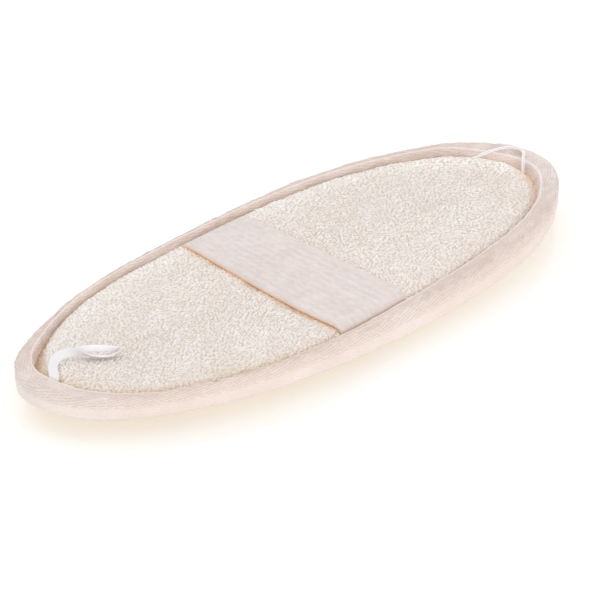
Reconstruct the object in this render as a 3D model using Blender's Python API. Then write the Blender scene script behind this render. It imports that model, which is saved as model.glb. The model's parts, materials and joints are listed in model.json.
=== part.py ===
"""Oval loofah back scrubber with an elastic hand strap and two hanging loops.

Every piece is one closed solid. Sizes are in millimetres, turned into metres when
a mesh is made. +Z is up, X runs along the pad and Y across it. The origin is the
middle of the flat area under the loofah sole. Most pieces are rings or shells
that follow one oval, placed by their depth: the distance in from the rim's
outer face.
"""

import math

import bpy
import numpy as np

MM = 0.001
SMOOTH_ANGLE = math.radians(38.0)   # edges sharper than this stay sharp
GAP = 0.3                 # clearance between neighbours

# ---- oval ----
LENGTH = 260.0            # over the binding
WIDTH = 103.6             # over the binding
HALF_LENGTH = LENGTH / 2.0
HALF_WIDTH = WIDTH / 2.0
STATIONS = 72             # facets round the oval
ANGLES = [2.0 * math.pi * i / STATIONS for i in range(STATIONS)]
ARC_STEPS = 7200          # steps used to measure along the oval
OFFSET_LAST = 10.5        # rings deeper than this are scaled copies of this one

# ---- rim, and its widening at both ends ----
TAPE = 0.7                # binding tape thickness
RIM_BOTTOM = 8.0          # lower edge of the tape's outer leg
RIM_TOP = 18.0            # top of the fold
RIM_THICK = 4.2           # rim thickness along the sides
INNER_LEG_BOTTOM = 12.5   # lower edge of the tape's inner leg
FOLD_BEVEL_WIDTH = 0.9    # bevel on the fold's top corners
FOLD_BEVEL_HEIGHT = 0.8
RIM_FLARE = 2.8           # extra rim thickness at both ends
GUTTER_FLARE = 3.0        # extra gutter width at both ends
FLARE_REACH = 54.0        # distance from an end, along the oval, where widening stops
FIXED_DEPTH = 3.3         # depths up to this are not widened
GUTTER_DEPTH = 6.0        # depths from this on also get the gutter's extra width

# ---- lockstitch row ----
SEAM_Z = 14.0
GROOVE = 0.4              # depth and half height of the V groove in the tape
THREAD_RADIUS = 0.22
THREAD_DIP = 0.12         # how far every other section sinks towards the tape
SECTIONS = 4              # thread sections per facet, two to a stitch

# ---- loofah sole and its lip inside the tape ----
SOLE_EDGE_Z = 8.6         # underside at the sole's outer edge
SOLE_EDGE_DEPTH = TAPE + GAP
SOLE_FLAT = 30.0          # the sole is flat further in than this
SOLE_CURVE = 2.2          # power of the rise towards the rim
SOLE_EDGE_THICK = 3.1
SOLE_EXTRA_THICK = 1.9    # added towards the middle
LIP_DEPTH = 1.8           # inner face of the upright lip
LIP_FOOT_Z = 10.1
LIP_TOP = 16.9

# ---- foam core ----
FOAM_GAP = GAP + 0.1      # clearance over the sole
FOAM_MIDDLE_Z = 15.75
# depth, z: upper side and wall, from the middle out
FOAM_UPPER = [
    (30.0, 15.7), (15.0, 15.55), (OFFSET_LAST, 15.25),
    (8.8, 14.3), (8.1, 13.1), (8.1, 8.6),
]
FOAM_UNDER_DEPTHS = (OFFSET_LAST, 15.0, 22.0, SOLE_FLAT)

# ---- terry cover ----
COVER_TOP_Z = 17.65
COVER_UNDER_Z = 16.1
FLANGE_OUTER = LIP_DEPTH + GAP
FLANGE_INNER = RIM_THICK - TAPE - GAP
# depth, z: over the top, down the wall, round the flange in the rim and back
COVER_PROFILE = [
    (30.0, 17.6), (15.0, 17.45), (OFFSET_LAST, 17.15), (8.2, 16.3),
    (6.9, 14.9), (6.3, 13.3), (6.3, 12.2),
    (FLANGE_INNER, 12.2), (FLANGE_INNER, 16.9), (FLANGE_OUTER, 16.9), (FLANGE_OUTER, 10.7),
    (7.8, 10.7), (7.8, 13.2), (8.5, 14.7),
    (OFFSET_LAST, 15.6), (15.0, 15.9), (30.0, 16.05),
]

# ---- hand strap ----
SEWN_BOTTOM = 12.8        # lower edge of the sewn strap and loop ends
STRAP_WIDTH = 35.0
STRAP_THICK = 1.1
STRAP_X = -3.5            # middle of the strap along the pad
STRAP_Z = 17.95           # underside of the taut strap
STRAP_SPLIT_Z = 16.45     # lower edge of the free span
STRAP_OUTER = 4.9         # depths of the turned-down ends' two faces
STRAP_INNER = 6.0
STRAP_COLUMNS = 8
STRAP_XS = [
    STRAP_X - STRAP_WIDTH / 2.0 + STRAP_WIDTH * i / STRAP_COLUMNS
    for i in range(STRAP_COLUMNS + 1)
]
# depth, z: outer face upwards, then underside downwards
STRAP_UPPER = [
    (STRAP_OUTER, STRAP_SPLIT_Z), (STRAP_OUTER, 17.7), (5.4, 18.6),
    (6.4, STRAP_Z + STRAP_THICK),
]
STRAP_UNDER = [(6.9, STRAP_Z), (6.3, 17.8), (6.0, 17.3), (STRAP_INNER, STRAP_SPLIT_Z)]

# ---- hanging loops ----
LOOP_WIDTH = 3.4          # ribbon width
LOOP_LAYER = 0.6          # thickness of one ribbon layer
LOOP_ROOT_DEPTH = 8.25
LOOP_ROOT_Z = 18.9
LOOP_END_TOP = 16.9
LOOP_ARC = 3.0            # root, anticlockwise along the oval from the pad's tip
LOOP_STEPS = 19           # stations along a loop
# x, y, z offsets from the root
LEFT_PATH = [
    (0.0, 0.0, 0.0), (4.3, 4.6, 0.0), (9.2, 10.2, 0.1), (16.0, 13.2, 0.85),
    (22.5, 11.2, 0.9), (27.6, 5.8, 0.9), (30.6, -0.6, 0.9),
]
# distance along the oval from the +X tip, distance in from the rim's inner face, z
RIGHT_PATH = [
    (LOOP_ARC, 1.25, LOOP_ROOT_Z), (9.0, 1.3, 18.9), (15.0, 1.4, 18.85), (20.0, 1.5, 18.3),
    (26.0, 1.45, 17.1), (32.0, 1.4, 16.3), (37.0, 1.4, 16.0),
]


def clear_scene():
    for obj in list(bpy.data.objects):
        bpy.data.objects.remove(obj, do_unlink=True)


def smoothstep(low, high, value):
    x = min(1.0, max(0.0, (value - low) / (high - low)))
    return x * x * (3.0 - 2.0 * x)


# ---- positions on the oval ----
def arc_table():
    """Angles round the oval and the distance along it to each."""
    angles = np.linspace(0.0, 2.0 * math.pi, ARC_STEPS + 1)
    points = np.stack([HALF_LENGTH * np.cos(angles), HALF_WIDTH * np.sin(angles)], 1)
    steps = np.linalg.norm(np.diff(points, axis=0), axis=1)
    return angles, np.concatenate([[0.0], np.cumsum(steps)])


ARC_ANGLES, ARC_LENGTHS = arc_table()
PERIMETER = ARC_LENGTHS[-1]


def angle_at(arc):
    """The oval's angle at a distance along it from the +X tip."""
    return float(np.interp(arc % PERIMETER, ARC_LENGTHS, ARC_ANGLES))


def outward(angle):
    normal = np.array([math.cos(angle) / HALF_LENGTH, math.sin(angle) / HALF_WIDTH])
    return normal / np.linalg.norm(normal)


def inward(angle, depth):
    edge = np.array([HALF_LENGTH * math.cos(angle), HALF_WIDTH * math.sin(angle)])
    return edge - outward(angle) * depth


def end_share(angle):
    """1 at both tips of the pad, fading to 0 along its sides."""
    arc = float(np.interp(angle % (2.0 * math.pi), ARC_ANGLES, ARC_LENGTHS))
    half = PERIMETER / 2.0
    to_tip = min(arc % half, half - arc % half)
    return 0.5 + 0.5 * math.cos(math.pi * min(1.0, to_tip / FLARE_REACH))


def rim_thickness(angle):
    return RIM_THICK + RIM_FLARE * end_share(angle)


def widened(depth, angle):
    """A depth with the widening of the rim and gutter added."""
    if depth <= FIXED_DEPTH:
        return depth
    extra = RIM_FLARE if depth < GUTTER_DEPTH else RIM_FLARE + GUTTER_FLARE
    return depth + extra * end_share(angle)


def ring(depth, z, widen=True):
    """One closed row of points, anticlockwise from above."""
    offset = min(depth, OFFSET_LAST)
    scale = (HALF_WIDTH - max(depth, OFFSET_LAST)) / (HALF_WIDTH - OFFSET_LAST)
    row = []
    for angle in ANGLES:
        x, y = inward(angle, widened(offset, angle) if widen else offset) * scale
        row.append((x, y, z))
    return row


# ---- solids, each as (verts, faces) ----
def oval_shell(rows, top_z, bottom_z):
    """A closed shell from the top middle, out through the rows and back in to
    the bottom middle."""
    verts = [(0.0, 0.0, top_z)]
    for row in rows:
        verts += row
    bottom = len(verts)
    verts.append((0.0, 0.0, bottom_z))
    last = bottom - STATIONS
    faces = []
    for i in range(STATIONS):
        j = (i + 1) % STATIONS
        faces.append((0, 1 + i, 1 + j))
        for start in range(1, last, STATIONS):
            below = start + STATIONS
            faces.append((start + i, below + i, below + j, start + j))
        faces.append((last + i, bottom, last + j))
    return verts, faces


def closed_ring(rows):
    """A solid ring through closed rows, the last joined back to the first."""
    verts = [vert for row in rows for vert in row]
    count = len(rows[0])
    faces = []
    for r in range(len(rows)):
        here = r * count
        after = (r + 1) % len(rows) * count
        for i in range(count):
            j = (i + 1) % count
            faces.append((here + j, after + j, after + i, here + i))
    return verts, faces


def strip_solid(columns):
    """A capped solid through closed outlines whose first half runs back
    alongside the second half, so that quads between the halves cap the ends."""
    verts = [vert for column in columns for vert in column]
    count = len(columns[0])
    last = (len(columns) - 1) * count
    faces = []
    for here in range(0, last, count):
        after = here + count
        for i in range(count):
            j = (i + 1) % count
            faces.append((here + i, here + j, after + j, after + i))
    for i in range(count // 2 - 1):
        across = count - 1 - i
        faces.append((i, across, across - 1, i + 1))
        faces.append((last + i, last + i + 1, last + across - 1, last + across))
    return verts, faces


# ---- objects ----
def make_material(name, colour, roughness, sheen):
    material = bpy.data.materials.new(name)
    material.use_nodes = True
    inputs = material.node_tree.nodes["Principled BSDF"].inputs
    inputs["Base Color"].default_value = (*colour, 1.0)
    inputs["Roughness"].default_value = roughness
    inputs["Metallic"].default_value = 0.0
    inputs["Sheen Weight"].default_value = sheen
    return material


def make_object(name, solid, colour, roughness, sheen=0.0, origin=(0.0, 0.0, 0.0)):
    """An object from a solid placed in the world, with its own origin."""
    verts, faces = solid
    shifted = [tuple((vert[k] - origin[k]) * MM for k in range(3)) for vert in verts]
    mesh = bpy.data.meshes.new(name)
    mesh.from_pydata(shifted, [], faces)
    mesh.validate()
    mesh.update()
    mesh.shade_smooth()
    mesh.set_sharp_from_angle(angle=SMOOTH_ANGLE)
    mesh.materials.append(make_material(name + "_material", colour, roughness, sheen))
    obj = bpy.data.objects.new(name, mesh)
    obj.location = tuple(c * MM for c in origin)
    bpy.context.scene.collection.objects.link(obj)


# ---- panels ----
def sole_under(depth):
    """Height of the sole's underside: flat in the middle, rising to the rim."""
    share = (depth - SOLE_EDGE_DEPTH) / (SOLE_FLAT - SOLE_EDGE_DEPTH)
    share = min(1.0, max(0.0, share))
    return SOLE_EDGE_Z * (1.0 - share) ** SOLE_CURVE


def sole_top(depth):
    thickness = SOLE_EDGE_THICK + SOLE_EXTRA_THICK * smoothstep(4.0, 24.0, depth)
    return sole_under(depth) + thickness


def build_loofah_panel():
    top_depths = (SOLE_FLAT, 24.0, 18.0, 13.5, OFFSET_LAST, 7.5, 4.5)
    under_depths = (SOLE_EDGE_DEPTH, 2.6, 5.5, OFFSET_LAST, 15.0, 20.0, 25.0, SOLE_FLAT)
    profile = [(depth, sole_top(depth)) for depth in top_depths]
    profile += [(LIP_DEPTH, LIP_FOOT_Z), (LIP_DEPTH, LIP_TOP), (SOLE_EDGE_DEPTH, LIP_TOP)]
    profile += [(depth, sole_under(depth)) for depth in under_depths]
    rows = [ring(depth, z, widen=False) for depth, z in profile]
    solid = oval_shell(rows, sole_top(SOLE_FLAT), 0.0)
    make_object("loofah_panel", solid, colour=(0.74, 0.60, 0.38), roughness=0.85)


def build_foam_core():
    under = [(depth, sole_top(depth) + FOAM_GAP) for depth in FOAM_UNDER_DEPTHS]
    rows = [ring(depth, z) for depth, z in FOAM_UPPER + under]
    solid = oval_shell(rows, FOAM_MIDDLE_Z, sole_top(SOLE_FLAT) + FOAM_GAP)
    make_object("foam_core", solid, colour=(0.86, 0.80, 0.62), roughness=0.9)


def build_terry_cover():
    rows = [ring(depth, z) for depth, z in COVER_PROFILE]
    solid = oval_shell(rows, COVER_TOP_Z, COVER_UNDER_Z)
    make_object("terry_cover", solid, colour=(0.83, 0.75, 0.63), roughness=0.95, sheen=0.4)


# ---- binding and its seam ----
def build_edge_binding():
    """The tape folded over the rim, with a V groove in each face at the seam."""
    shoulder = RIM_TOP - FOLD_BEVEL_HEIGHT
    # depth, z: up the outer face, over, down the inner face, back inside the fold
    profile = [
        (0.0, RIM_BOTTOM),
        (0.0, SEAM_Z - GROOVE),
        (GROOVE, SEAM_Z),
        (0.0, SEAM_Z + GROOVE),
        (0.0, shoulder),
        (FOLD_BEVEL_WIDTH, RIM_TOP),
        (RIM_THICK - FOLD_BEVEL_WIDTH, RIM_TOP),
        (RIM_THICK, shoulder),
        (RIM_THICK, SEAM_Z + GROOVE),
        (RIM_THICK - GROOVE, SEAM_Z),
        (RIM_THICK, SEAM_Z - GROOVE),
        (RIM_THICK, INNER_LEG_BOTTOM),
        (RIM_THICK - TAPE, INNER_LEG_BOTTOM),
        (RIM_THICK - TAPE, RIM_TOP - TAPE),
        (TAPE, RIM_TOP - TAPE),
        (TAPE, RIM_BOTTOM),
    ]
    rows = []
    for depth, z in profile:
        # the whole inner half of the fold moves in as the rim widens
        flare = RIM_FLARE if depth > RIM_THICK / 2.0 else 0.0
        rows.append([(*inward(a, depth + flare * end_share(a)), z) for a in ANGLES])
    make_object("edge_binding", closed_ring(rows),
                colour=(0.84, 0.73, 0.65), roughness=0.85, sheen=0.2)


def build_seam_thread(name, inner):
    """One thread of the lockstitch, on the rim's outer or inner face. Every other
    section dips towards the tape."""
    into_tape = -1.0 if inner else 1.0
    rows = []
    for facet in range(STATIONS):
        facet_ends = (ANGLES[facet], ANGLES[(facet + 1) % STATIONS])
        for part in range(SECTIONS):
            share = part / SECTIONS
            dip = THREAD_DIP * into_tape if part % 2 else 0.0
            section = []
            for across, up in ((1, 0), (0, 1), (-1, 0), (0, -1)):
                depth = dip + THREAD_RADIUS * across
                start, end = (
                    inward(angle, depth + (rim_thickness(angle) if inner else 0.0))
                    for angle in facet_ends
                )
                x, y = start * (1.0 - share) + end * share
                section.append((x, y, SEAM_Z + THREAD_RADIUS * up))
            rows.append(section)
    make_object(name, closed_ring(rows), colour=(0.88, 0.82, 0.74), roughness=0.6)


# ---- strap ----
def side_y(x, depth, side):
    """Y of the faceted ring at an X, on the near (-Y, -1) or far (+Y, +1) side."""
    points = sorted((px, py) for px, py, _ in ring(depth, 0.0) if py * side > 0.0)
    xs, ys = zip(*points)
    return float(np.interp(x, xs, ys))


def build_hand_strap():
    """The free span: straight across the pad, turned down at both ends."""
    outline = [(depth, z, 1) for depth, z in STRAP_UPPER]
    outline += [(depth, z, -1) for depth, z in reversed(STRAP_UPPER)]
    outline += [(depth, z, -1) for depth, z in reversed(STRAP_UNDER)]
    outline += [(depth, z, 1) for depth, z in STRAP_UNDER]
    columns = [[(x, side_y(x, depth, side), z) for depth, z, side in outline] for x in STRAP_XS]
    make_object("hand_strap", strip_solid(columns), colour=(0.86, 0.78, 0.73),
                roughness=0.55, sheen=0.15, origin=(STRAP_X, 0.0, STRAP_Z))


def build_strap_end(name, side):
    """A sewn end of the strap, tucked between the cover and the tape's inner leg."""
    top = STRAP_SPLIT_Z - GAP
    outline = [
        (STRAP_OUTER, SEWN_BOTTOM), (STRAP_OUTER, top),
        (STRAP_INNER, top), (STRAP_INNER, SEWN_BOTTOM),
    ]
    columns = [[(x, side_y(x, depth, side), z) for depth, z in outline] for x in STRAP_XS]
    verts, faces = strip_solid(columns)
    if side < 0:
        # the outline is mirrored here, so the faces are turned back outwards
        faces = [face[::-1] for face in faces]
    make_object(name, (verts, faces), colour=(0.84, 0.76, 0.70), roughness=0.6, sheen=0.15)


# ---- hanging loops ----
def spline(points, count):
    """Evenly stepped points on a Catmull-Rom curve through the given ones."""
    knots = [np.array(point, float) for point in points]
    knots = [2 * knots[0] - knots[1]] + knots + [2 * knots[-1] - knots[-2]]
    spans = len(knots) - 3
    curve = []
    for k in range(count):
        along = k / (count - 1) * spans
        i = min(int(along), spans - 1)
        t = along - i
        a, b, c, d = knots[i:i + 4]
        linear = (c - a) * t
        square = (2 * a - 5 * b + 4 * c - d) * t * t
        cube = (3 * b - a - 3 * c + d) * t * t * t
        curve.append(0.5 * (2 * b + linear + square + cube))
    return curve


def ribbon_frame(centres, i, turn):
    """Directions across the ribbon and through its layers at a station."""
    ahead = centres[min(i + 1, len(centres) - 1)] - centres[max(i - 1, 0)]
    tangent = ahead / np.linalg.norm(ahead)
    level = np.cross(np.array([0.0, 0.0, 1.0]), tangent)
    level /= np.linalg.norm(level)
    upright = np.cross(tangent, level)
    across = level * math.cos(turn) + upright * math.sin(turn)
    return across, np.cross(tangent, across)


def build_ribbon_loop(name, path, roll, eye_from, eye_half, origin):
    """Two ribbon layers lying along a path. They are one band up to station
    eye_from, then part round an eye that closes at the far end. Between the two
    stations in roll the band turns from flat to on edge."""
    centres = spline(path, LOOP_STEPS)
    end = LOOP_STEPS - 1
    verts = []
    # each station maps (surface, layer side, ribbon edge) to a vertex number
    stations = []
    eyes = []
    for i, centre in enumerate(centres):
        across, through = ribbon_frame(centres, i, smoothstep(*roll, i) * math.pi / 2.0)
        share = (i - eye_from) / (end - eye_from)
        eye = eye_half * math.sin(math.pi * share) if eye_from < i < end else 0.0
        station = {}
        for edge in (-1, 1):
            middle = centre + across * LOOP_WIDTH / 2.0 * edge
            for layer in (1, -1):
                station["outer", layer, edge] = len(verts)
                verts.append(middle + through * (LOOP_LAYER + eye) * layer)
            for layer in (1, -1):
                # a closed eye has one vertex shared by both layers
                if eye > 0.0 or layer == 1:
                    verts.append(middle + through * eye * layer)
                station["eye", layer, edge] = len(verts) - 1
        stations.append(station)
        eyes.append(eye)

    faces = []
    for i in range(end):
        here, after = stations[i], stations[i + 1]
        for layer in (1, -1):
            # each wall joins two of the layer's long edges
            walls = [
                (("outer", layer, -1), ("outer", layer, 1)),
                (("outer", layer, 1), ("eye", layer, 1)),
                (("eye", layer, -1), ("outer", layer, -1)),
            ]
            if eyes[i] > 0.0 or eyes[i + 1] > 0.0:
                walls.append((("eye", layer, 1), ("eye", layer, -1)))
            for first, second in walls:
                face = (here[first], here[second], after[second], after[first])
                faces.append(face[::-layer])
    cap = [
        ("outer", 1, 1), ("eye", 1, 1), ("outer", -1, 1),
        ("outer", -1, -1), ("eye", 1, -1), ("outer", 1, -1),
    ]
    faces.append(tuple(stations[0][key] for key in cap))
    faces.append(tuple(stations[end][key] for key in reversed(cap)))
    make_object(name, (verts, faces), colour=(0.90, 0.88, 0.86),
                roughness=0.45, sheen=0.1, origin=origin)


def loop_angle(side):
    """The oval's angle at the root of the loop at the -X (-1) or +X (+1) end."""
    return angle_at(LOOP_ARC if side > 0 else PERIMETER / 2.0 + LOOP_ARC)


def loop_root(side):
    return (*inward(loop_angle(side), LOOP_ROOT_DEPTH), LOOP_ROOT_Z)


def build_loop_left():
    """The loop that leaves the -X tip and lies across the cover."""
    root = loop_root(-1)
    path = [np.add(root, offset) for offset in LEFT_PATH]
    build_ribbon_loop("hanging_loop_left", path, roll=(6.0, 9.0),
                      eye_from=10, eye_half=1.2, origin=root)


def build_loop_right():
    """The loop that leaves the +X tip and follows the inside of the rim."""
    path = []
    for arc, beyond, z in RIGHT_PATH:
        angle = angle_at(arc)
        path.append((*inward(angle, rim_thickness(angle) + beyond), z))
    build_ribbon_loop("hanging_loop_right", path, roll=(7.5, 10.5),
                      eye_from=12, eye_half=0.12, origin=loop_root(1))


def build_loop_end(name, side):
    """The sewn end of a loop, standing in the gutter at the pad's tip."""
    normal = outward(loop_angle(side))
    tangent = np.array([-normal[1], normal[0]])
    middle = np.array(loop_root(side)[:2])
    verts = []
    for z in (SEWN_BOTTOM, LOOP_END_TOP):
        for out, along in ((-1, -1), (1, -1), (1, 1), (-1, 1)):
            corner = middle + normal * out * LOOP_LAYER + tangent * along * LOOP_WIDTH / 2.0
            verts.append((*corner, z))
    faces = [(3, 2, 1, 0), (4, 5, 6, 7)]
    for i in range(4):
        j = (i + 1) % 4
        faces.append((i, j, 4 + j, 4 + i))
    make_object(name, (verts, faces), colour=(0.88, 0.86, 0.83), roughness=0.5, sheen=0.1)


def main():
    clear_scene()
    build_loofah_panel()
    build_foam_core()
    build_terry_cover()
    build_edge_binding()
    build_seam_thread("binding_needle_thread", inner=False)
    build_seam_thread("binding_bobbin_thread", inner=True)
    build_hand_strap()
    build_strap_end("strap_end_near", side=-1)
    build_strap_end("strap_end_far", side=1)
    build_loop_left()
    build_loop_end("loop_end_left", side=-1)
    build_loop_right()
    build_loop_end("loop_end_right", side=1)


main()
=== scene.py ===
"""An oval bath pad: loofah sole, terry cover over a sponge core, twill-bound rim,
an elastic hand strap across the top and a ribbon hanging loop at each tip.

The pad lies flat on the floor at z = 0, centred on the origin, with its length along X
(left is -X, right is +X) and its width along Y (near is -Y, far is +Y). The strap runs
along Y. Shapes are worked out in millimetres; Blender gets metres.
"""

import json
import math

import bpy
import numpy as np
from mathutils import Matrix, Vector
from mathutils.bvhtree import BVHTree


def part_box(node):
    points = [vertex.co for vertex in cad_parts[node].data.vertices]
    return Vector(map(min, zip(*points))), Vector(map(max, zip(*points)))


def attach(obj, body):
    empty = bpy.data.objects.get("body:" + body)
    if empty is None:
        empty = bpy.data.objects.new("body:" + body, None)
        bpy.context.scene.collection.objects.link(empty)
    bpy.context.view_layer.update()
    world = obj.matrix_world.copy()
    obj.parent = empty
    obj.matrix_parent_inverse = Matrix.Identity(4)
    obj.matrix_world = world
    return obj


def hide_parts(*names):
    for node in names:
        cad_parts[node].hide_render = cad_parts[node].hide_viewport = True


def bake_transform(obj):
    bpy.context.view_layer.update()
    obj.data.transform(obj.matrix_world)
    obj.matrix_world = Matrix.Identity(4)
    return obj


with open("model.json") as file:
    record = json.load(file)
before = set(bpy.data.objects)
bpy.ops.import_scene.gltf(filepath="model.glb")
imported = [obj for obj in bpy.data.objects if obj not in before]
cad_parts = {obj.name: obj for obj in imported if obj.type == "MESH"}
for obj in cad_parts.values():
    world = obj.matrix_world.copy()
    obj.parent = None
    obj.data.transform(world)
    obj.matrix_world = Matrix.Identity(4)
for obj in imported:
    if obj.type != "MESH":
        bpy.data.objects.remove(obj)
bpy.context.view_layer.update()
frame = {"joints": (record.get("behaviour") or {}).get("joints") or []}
MM = 0.001

# ------------------------------------------------------------------ driving sizes, mm
rim_low, rim_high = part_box("edge_binding")
HALF_LENGTH, HALF_WIDTH = rim_high.x / MM, rim_high.y / MM
RIM_TOP = rim_high.z / MM
RIM_HEIGHT = (rim_high.z - rim_low.z) / MM
STRAP_LOW, STRAP_HIGH = (np.array(v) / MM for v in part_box("hand_strap"))
SEAM_Z = float(sum(v.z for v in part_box("binding_needle_thread"))) / 2 / MM
STITCH = 3.1            # length of one stitch
THREAD_RADIUS = 0.21

TERRY_TOP = 17.05       # ground of the pile on top; the loops stand above it
PILE = 0.62             # height of the loops
TERRY_STEP = 0.36       # spacing of the cover's rings
SPINE = 76.0            # half length of the middle line the rings close on

STRAP_THICKNESS = 1.05
STRAP_REACH = 46.0      # |y| at which the strap's spread is given at its ends
# sideways shift of each strap edge (-1 left, +1 right): (y / STRAP_REACH, shift along X)
STRAP_SPREAD = {
    -1: ((-1.0, 2.5), (-0.93, 1.8), (-0.8, 0.8), (-0.5, -0.4), (0.0, -0.8), (0.5, -0.4),
         (1.0, 0.0)),
    1: ((-1.0, 3.6), (-0.8, 3.1), (-0.5, 2.3), (0.0, 0.7), (0.5, -0.9), (1.0, -2.3)),
}
# strap centreline at its sewn end, near (-1) and far (+1): (distance in, height below top)
STRAP_BEND = {
    -1: ((0.0, -6.6), (0.0, -4.6), (0.08, -3.0), (0.4, -1.75), (1.1, -0.85), (2.2, -0.35),
         (3.8, -0.09), (6.0, 0.0)),
    1: ((0.0, -6.6), (0.05, -4.8), (0.3, -3.4), (0.9, -2.3), (1.9, -1.4), (3.4, -0.75),
        (5.8, -0.3), (9.5, 0.0)),
}

# terry wall from the seam over the shoulder: (extra depth inwards, height below the flat top)
TERRY_WALL = (
    (-0.1, -8.4), (-0.25, -6.6), (-0.2, -4.8), (0.05, -3.5), (0.5, -2.4),
    (1.2, -1.55), (2.3, -0.85), (3.8, -0.38), (5.6, -0.12), (7.8, 0.0),
)
# sponge outline: (depth inwards, z)
FOAM_PROFILE = (
    (6.0, 7.6), (2.0, 8.3), (0.4, 9.0), (0.0, 10.5), (0.3, 12.5), (1.6, 14.2),
    (4.5, 15.3), (9.0, 15.6),
)
# loofah fibres: (direction in radians, pitch, radius, height, seed)
STRAND_LAYERS = (
    (0.10, 3.0, 0.46, 1.0, 31), (-0.35, 3.4, 0.42, 0.9, 32), (0.75, 3.8, 0.42, 0.85, 33),
    (1.45, 3.6, 0.45, 0.95, 34), (-1.0, 4.2, 0.40, 0.8, 35), (2.3, 4.6, 0.42, 0.75, 36),
)

# hand-sewn irregularity of the rim: (cosine, sine) amounts of 1, 2, 3... waves round the oval
BOW_WAVES = ((-0.46, -0.31), (0.71, 0.65), (-0.56, -0.01), (-0.9, -1.3), (0.41, 0.1),
             (0.58, 0.4), (0.09, 0.16))
RISE_WAVES = ((0.11, 0.36), (0.73, 0.76), (-0.28, 0.2), (-0.13, 0.34), (-0.8, 0.53))
LEAN_WAVES = ((-0.3, 0.08), (0.7, 0.08), (0.31, -0.4))
THICKNESS_WAVES = ((0.45, -0.93), (0.52, -0.61), (-1.28, 0.04))

# ribbon loops: the stations hidden below each root, then the visible path
RIBBON_TAIL = ((0, 0, -5.4), (0, 0, -3.2), (0, 0, -1.3))
RIBBON_STATIONS = 130
# left path from its root: (x, y, z, turn of the width out of level in radians)
LEFT_PATH = (
    (1.2, 1.2, -0.1, 0.0), (4.6, 6.2, 0.1, -0.15), (8.9, 9.6, 0.4, -0.55),
    (13.4, 10.0, 0.7, -1.1), (17.8, 7.9, 0.75, -1.6), (22.2, 4.4, 0.75, -1.95),
    (26.6, 0.4, 0.7, -2.05), (30.4, -1.8, 0.55, -2.0),
)
# right path: (x, y, z)
RIGHT_PATH = (
    (122.4, 2.6, 19.0), (124.3, 4.4, 19.8), (124.9, 7.2, 20.2), (123.2, 10.4, 20.2),
    (119.9, 13.0, 19.8), (116.0, 15.2, 19.0), (111.6, 17.0, 17.7), (105.0, 19.6, 16.0),
    (98.5, 22.0, 15.3),
)


# ------------------------------------------------------------------ curves and noise
def smooth(start, end, value):
    """Eased step from 0 at start to 1 at end; start may be the larger."""
    x = np.clip((np.asarray(value, float) - start) / (end - start), 0, 1)
    return x * x * (3 - 2 * x)


def bell(offset, width):
    return np.exp(-(offset / width) ** 2)


def value_noise(x, y, scale, seed):
    """Smooth seeded noise from -1 to 1 on a repeating 64 x 64 lattice."""
    table = np.random.default_rng(seed).random((64, 64, 8))[..., 0]
    x, y = x / scale, y / scale
    cell_x, cell_y = np.floor(x).astype(int), np.floor(y).astype(int)
    blend_x, blend_y = (f * f * (3 - 2 * f) for f in (x - cell_x, y - cell_y))
    total = 0
    for i in (0, 1):
        for j in (0, 1):
            weight = (blend_x if i else 1 - blend_x) * (blend_y if j else 1 - blend_y)
            total = total + weight * table[(cell_x + i) % 64, (cell_y + j) % 64]
    return total * 2 - 1


def path_length(*coordinates):
    """Running length along a path given as one array per coordinate."""
    return np.concatenate([[0], np.cumsum(np.hypot(*(np.diff(c) for c in coordinates)))])


# ------------------------------------------------------------------ the oval
ANGLE_TABLE = np.linspace(0, 2 * np.pi, 7201)
ARC_TABLE = path_length(HALF_LENGTH * np.cos(ANGLE_TABLE), HALF_WIDTH * np.sin(ANGLE_TABLE))
PERIMETER = ARC_TABLE[-1]


def angle_at(arc):
    return np.interp(np.mod(arc, PERIMETER), ARC_TABLE, ANGLE_TABLE)


def arc_at(angle):
    return np.interp(np.mod(angle, 2 * np.pi), ANGLE_TABLE, ARC_TABLE)


def arc_stations(count):
    """Evenly spaced arc lengths once round the oval, from the right tip."""
    return np.arange(count) / count * PERIMETER


def outward(angle):
    x, y = np.cos(angle) / HALF_LENGTH, np.sin(angle) / HALF_WIDTH
    length = np.hypot(x, y)
    return x / length, y / length


def waves(angle, amounts):
    total = np.zeros_like(np.asarray(angle, float))
    for k, (cosine, sine) in enumerate(amounts, 1):
        total = total + cosine * np.cos(k * angle) + sine * np.sin(k * angle)
    return total


def end_bump(angle, centre, reach=54.0):
    """1 at arc length centre, falling to 0 at reach either side."""
    away = np.abs(np.mod(arc_at(angle) - centre + PERIMETER / 2, PERIMETER) - PERIMETER / 2)
    return 0.5 + 0.5 * np.cos(np.pi * np.minimum(1, away / reach))


def right_end(angle):
    return end_bump(angle, 0.0)


def left_end(angle):
    return end_bump(angle, PERIMETER / 2)


def hump(angle, centre, width):
    away = np.mod(np.asarray(angle, float) - centre + np.pi, 2 * np.pi) - np.pi
    return bell(away, width)


def rim_bow(angle):
    """How far the rim's top stands out from the nominal oval."""
    return (waves(angle, BOW_WAVES) + 0.55 * smooth(-0.1, 0.7, np.sin(angle))
            - 1.8 * hump(angle, centre=2.5, width=0.25)
            + 1.1 * hump(angle, centre=-0.08, width=0.3))


def rim_rise(angle):
    """How far the rim's top stands above its nominal height."""
    return waves(angle, RISE_WAVES) + 0.5 * smooth(-0.1, 0.7, np.sin(angle))


def rim_lean(angle):
    """How far the outer face leans in over the rim's height."""
    return 0.35 + waves(angle, LEAN_WAVES)


def rim_thickness(angle):
    return (4.85 - 0.35 * np.sin(angle) + 1.77 * left_end(angle) + 3.77 * right_end(angle)
            + waves(angle, THICKNESS_WAVES) - 0.6 * hump(angle, centre=4.15, width=0.5))


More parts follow.
